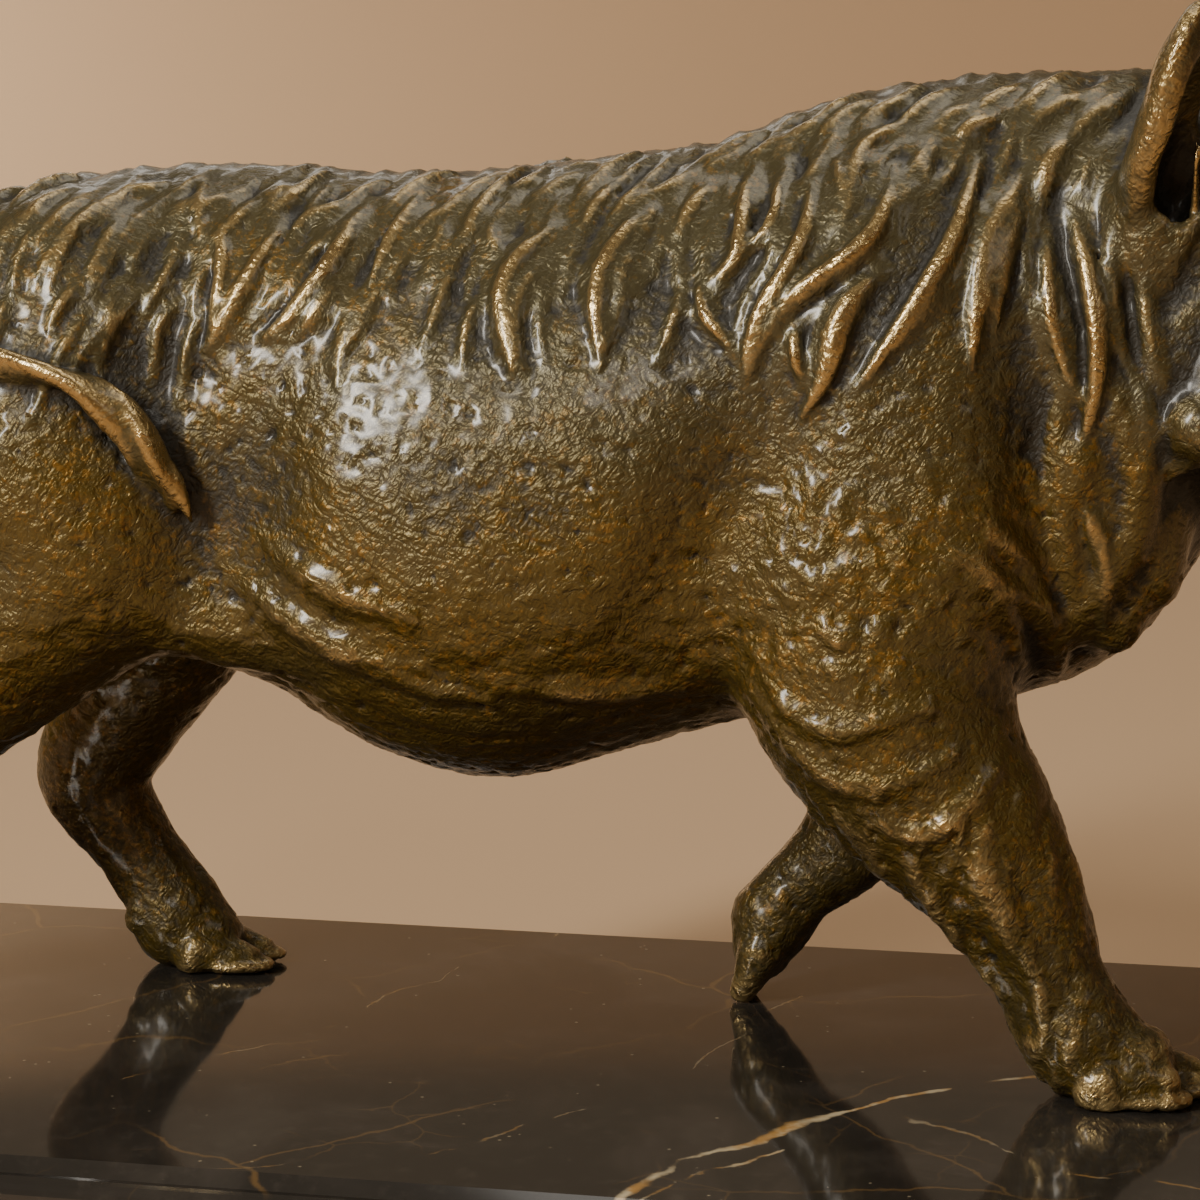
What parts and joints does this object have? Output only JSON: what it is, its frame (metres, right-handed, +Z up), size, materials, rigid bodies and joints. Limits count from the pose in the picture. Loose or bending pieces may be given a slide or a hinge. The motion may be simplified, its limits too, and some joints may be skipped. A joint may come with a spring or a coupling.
{
  "type": "warthog sculpture",
  "caption": "Cast bronze warthog walking with its head low, tusked, warted and shaggy along the spine, on a polished dark marble plinth with a moulded top edge.",
  "frame": {"origin": "centre of the plinth's underside", "axes": "+Z up, +X the way the animal walks, along the plinth's length, +Y towards the animal's left, across the plinth"},
  "size_m": [0.2838, 0.1196, 0.1553],
  "materials": {
    "bronze": "waxed olive-brown bronze patina, rubbed golden on the ridges",
    "black_marble": "polished near-black marble with fine golden veins"
  },
  "bodies": {
    "root": {"warthog": "bronze", "plinth": "black_marble"}
  },
  "joints": []
}
